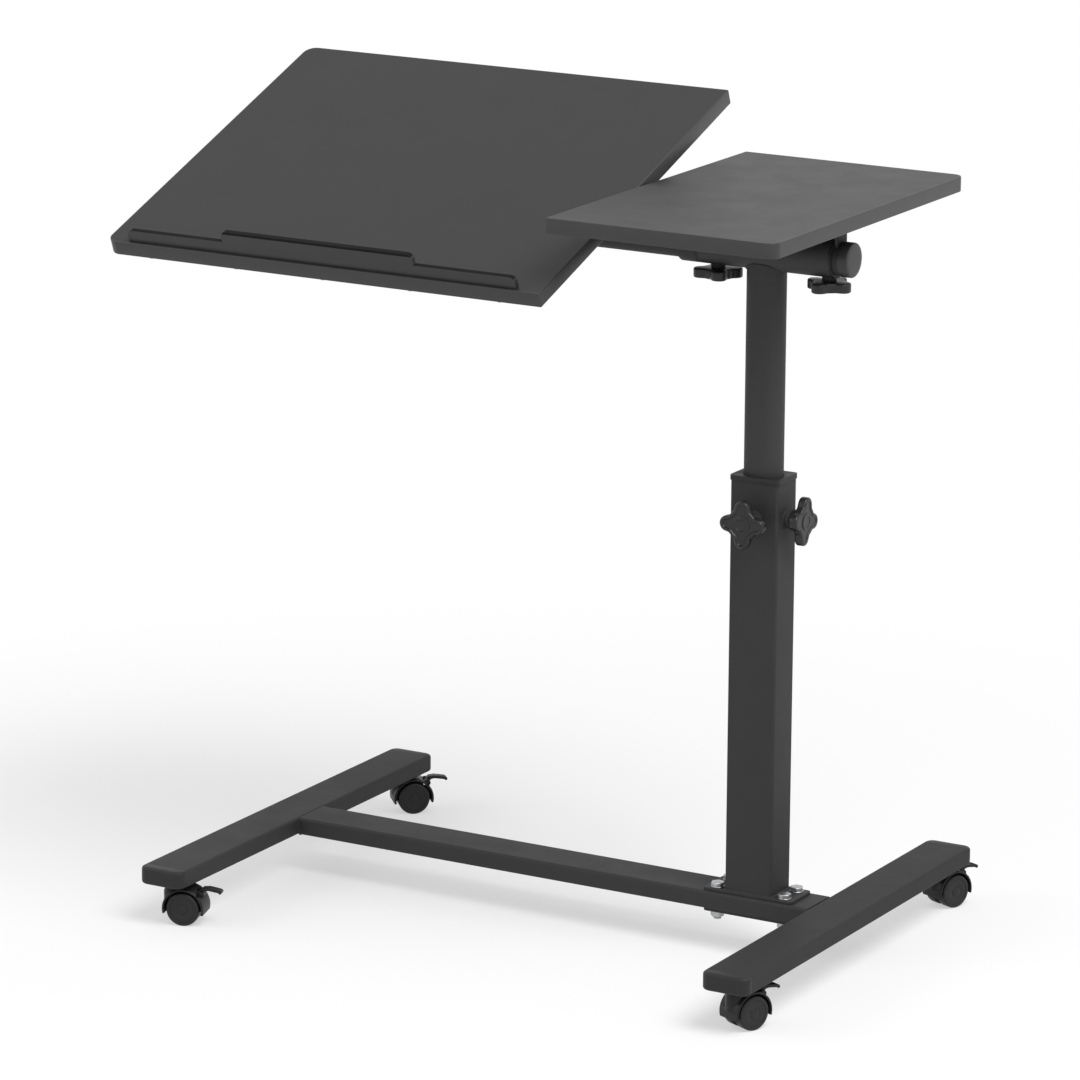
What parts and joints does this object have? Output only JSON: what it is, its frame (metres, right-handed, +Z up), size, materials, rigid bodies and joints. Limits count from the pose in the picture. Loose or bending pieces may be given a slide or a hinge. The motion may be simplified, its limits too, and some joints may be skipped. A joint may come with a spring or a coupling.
{
  "type": "laptop side table",
  "caption": "Height-adjustable laptop side table on an H-shaped caster base, with a tilting laptop board with stop bar and a separate small side board.",
  "frame": {"origin": "centre of the whole object's box on the floor", "axes": "+Z up, +X along the base bar from the laptop board towards the side board, +Y from the user's side to the far side"},
  "size_m": [0.7436, 0.511, 0.8232],
  "materials": {
    "powder_coated_steel": "fine matt powder coat, charcoal",
    "board_laminate": "charcoal melamine on particle board with a matching edge band",
    "black_plastic": "moulded black plastic, fine grain",
    "stop_bar_plastic": "black plastic strip, satin",
    "knob_plastic": "glass-filled black plastic, satin",
    "caster_plastic": "black nylon, satin",
    "wheel_plastic": "dark grey wheel plastic, satin",
    "zinc_steel": "bright zinc plate"
  },
  "bodies": {
    "base": {"left_foot": "powder_coated_steel", "right_foot": "powder_coated_steel", "base_bar": "powder_coated_steel", "foot_end_caps": "black_plastic", "caster_sockets": "zinc_steel", "bar_tongue": "powder_coated_steel", "tongue_screws": "zinc_steel", "post_plate": "powder_coated_steel", "post_tube": "powder_coated_steel", "clamp_plate": "powder_coated_steel", "post_bolts": "zinc_steel", "post_nuts": "zinc_steel", "collar_bush": "black_plastic", "front_boss": "powder_coated_steel", "side_boss": "powder_coated_steel"},
    "mast": {"mast_tube": "powder_coated_steel", "mast_glide": "black_plastic", "head_sleeve": "powder_coated_steel", "left_head_bush": "black_plastic", "right_head_bush": "black_plastic", "head_bosses": "powder_coated_steel"},
    "laptop_board": {"laptop_panel": "board_laminate", "tilt_rod": "powder_coated_steel", "rod_collar": "powder_coated_steel", "inner_bracket": "powder_coated_steel", "outer_bracket": "powder_coated_steel", "panel_screws": "zinc_steel", "rod_end_cap": "black_plastic", "stop_bar": "stop_bar_plastic", "stop_bar_screws": "zinc_steel"},
    "side_board": {"side_panel": "board_laminate", "stub_rod": "powder_coated_steel", "side_bracket": "powder_coated_steel", "side_screws": "zinc_steel", "stub_end_cap": "black_plastic"},
    "front_height_knob": {"front_knob": "knob_plastic", "front_knob_stud": "zinc_steel"},
    "side_height_knob": {"side_knob": "knob_plastic", "side_knob_stud": "zinc_steel"},
    "left_tilt_lock": {"left_tilt_knob": "knob_plastic", "left_tilt_stud": "zinc_steel"},
    "right_tilt_lock": {"right_tilt_knob": "knob_plastic", "right_tilt_stud": "zinc_steel"},
    "front_left_caster": {"front_left_housing": "caster_plastic", "front_left_stem": "zinc_steel"},
    "front_left_wheel_pair": {"front_left_wheels": "wheel_plastic"},
    "front_left_brake_lever": {"front_left_brake": "caster_plastic"},
    "rear_left_caster": {"rear_left_housing": "caster_plastic", "rear_left_stem": "zinc_steel"},
    "rear_left_wheel_pair": {"rear_left_wheels": "wheel_plastic"},
    "rear_left_brake_lever": {"rear_left_brake": "caster_plastic"},
    "front_right_caster": {"front_right_housing": "caster_plastic", "front_right_stem": "zinc_steel"},
    "front_right_wheel_pair": {"front_right_wheels": "wheel_plastic"},
    "front_right_brake_lever": {"front_right_brake": "caster_plastic"},
    "rear_right_caster": {"rear_right_housing": "caster_plastic", "rear_right_stem": "zinc_steel"},
    "rear_right_wheel_pair": {"rear_right_wheels": "wheel_plastic"},
    "rear_right_brake_lever": {"rear_right_brake": "caster_plastic"}
  },
  "joints": [
    {"name": "height_slide", "type": "slide", "parent": "base", "child": "mast", "axis": [0, 0, 1], "range_m": [-0.14, 0.1954]},
    {"name": "laptop_board_tilt", "type": "hinge", "parent": "mast", "child": "laptop_board", "pos_m": [0.2522, -0.01052, 0.705], "axis": [1, 0, 0], "range_deg": [-20.3, 54.7]},
    {"name": "side_board_tilt", "type": "hinge", "parent": "mast", "child": "side_board", "pos_m": [0.2522, -0.01052, 0.705], "axis": [1, 0, 0], "range_deg": [0, 75]},
    {"name": "front_knob_turn", "type": "hinge", "parent": "base", "child": "front_height_knob", "pos_m": [0.2522, -0.05252, 0.443], "axis": [0, -1, 0], "range_deg": [0, 180]},
    {"name": "side_knob_turn", "type": "hinge", "parent": "base", "child": "side_height_knob", "pos_m": [0.2962, -0.01052, 0.443], "axis": [1, 0, 0], "range_deg": [0, 180]},
    {"name": "left_tilt_knob_turn", "type": "hinge", "parent": "mast", "child": "left_tilt_lock", "pos_m": [0.1992, -0.01052, 0.678], "axis": [0, 0, -1], "range_deg": [0, 180]},
    {"name": "right_tilt_knob_turn", "type": "hinge", "parent": "mast", "child": "right_tilt_lock", "pos_m": [0.3192, -0.01052, 0.678], "axis": [0, 0, -1], "range_deg": [0, 180]},
    {"name": "front_left_swivel", "type": "hinge", "parent": "base", "child": "front_left_caster", "pos_m": [-0.2908, -0.22852, 0.05], "axis": [0, 0, 1], "continuous": true},
    {"name": "front_left_roll", "type": "hinge", "parent": "front_left_caster", "child": "front_left_wheel_pair", "pos_m": [-0.27932, -0.22501, 0.017], "axis": [-0.2924, 0.9563, 0], "continuous": true},
    {"name": "front_left_brake_press", "type": "hinge", "parent": "front_left_caster", "child": "front_left_brake_lever", "pos_m": [-0.26478, -0.22057, 0.0322], "axis": [-0.2924, 0.9563, 0], "range_deg": [0, 20]},
    {"name": "rear_left_swivel", "type": "hinge", "parent": "base", "child": "rear_left_caster", "pos_m": [-0.2908, 0.20748, 0.05], "axis": [0, 0, 1], "continuous": true},
    {"name": "rear_left_roll", "type": "hinge", "parent": "rear_left_caster", "child": "rear_left_wheel_pair", "pos_m": [-0.28188, 0.21551, 0.017], "axis": [-0.6691, 0.7431, 0], "continuous": true},
    {"name": "rear_left_brake_press", "type": "hinge", "parent": "rear_left_caster", "child": "rear_left_brake_lever", "pos_m": [-0.27058, 0.22568, 0.0322], "axis": [-0.6691, 0.7431, 0], "range_deg": [0, 20]},
    {"name": "front_right_swivel", "type": "hinge", "parent": "base", "child": "front_right_caster", "pos_m": [0.3452, -0.22852, 0.05], "axis": [0, 0, 1], "continuous": true},
    {"name": "front_right_roll", "type": "hinge", "parent": "front_right_caster", "child": "front_right_wheel_pair", "pos_m": [0.35008, -0.21756, 0.017], "axis": [-0.9135, 0.4067, 0], "continuous": true},
    {"name": "front_right_brake_press", "type": "hinge", "parent": "front_right_caster", "child": "front_right_brake_lever", "pos_m": [0.35626, -0.20367, 0.0322], "axis": [-0.9135, 0.4067, 0], "range_deg": [0, 20]},
    {"name": "rear_right_swivel", "type": "hinge", "parent": "base", "child": "rear_right_caster", "pos_m": [0.3452, 0.20748, 0.05], "axis": [0, 0, 1], "continuous": true},
    {"name": "rear_right_roll", "type": "hinge", "parent": "rear_right_caster", "child": "rear_right_wheel_pair", "pos_m": [0.3497, 0.2186, 0.017], "axis": [-0.9272, 0.3746, 0], "continuous": true},
    {"name": "rear_right_brake_press", "type": "hinge", "parent": "rear_right_caster", "child": "rear_right_brake_lever", "pos_m": [0.35539, 0.2327, 0.0322], "axis": [-0.9272, 0.3746, 0], "range_deg": [0, 20]}
  ]
}
